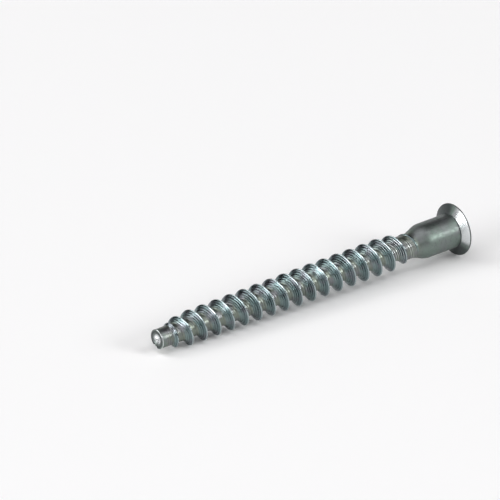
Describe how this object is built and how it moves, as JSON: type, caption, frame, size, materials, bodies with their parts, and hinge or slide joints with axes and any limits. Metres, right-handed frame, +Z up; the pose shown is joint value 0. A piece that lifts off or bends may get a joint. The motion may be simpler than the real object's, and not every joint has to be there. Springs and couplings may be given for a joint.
{
  "type": "one-piece furniture connector screw",
  "caption": "Furniture connector screw in one piece, with a coarse right-hand thread, a smooth shoulder and a flat head with a hex socket, for joining panels edge to face.",
  "frame": {"origin": "on the surface that the screw lies on, below the middle of its box", "axes": "+X along the screw towards its head, which is raised by the slope of about 1.9 degrees at which it rests on its head's rim and its thread, +Z up"},
  "size_m": [0.0702, 0.0102, 0.0102],
  "materials": {
    "zinc_plated_steel": "bright zinc plating on rolled steel, satin on the shoulder"
  },
  "bodies": {
    "root": {"connector_screw": "zinc_plated_steel"}
  },
  "joints": []
}
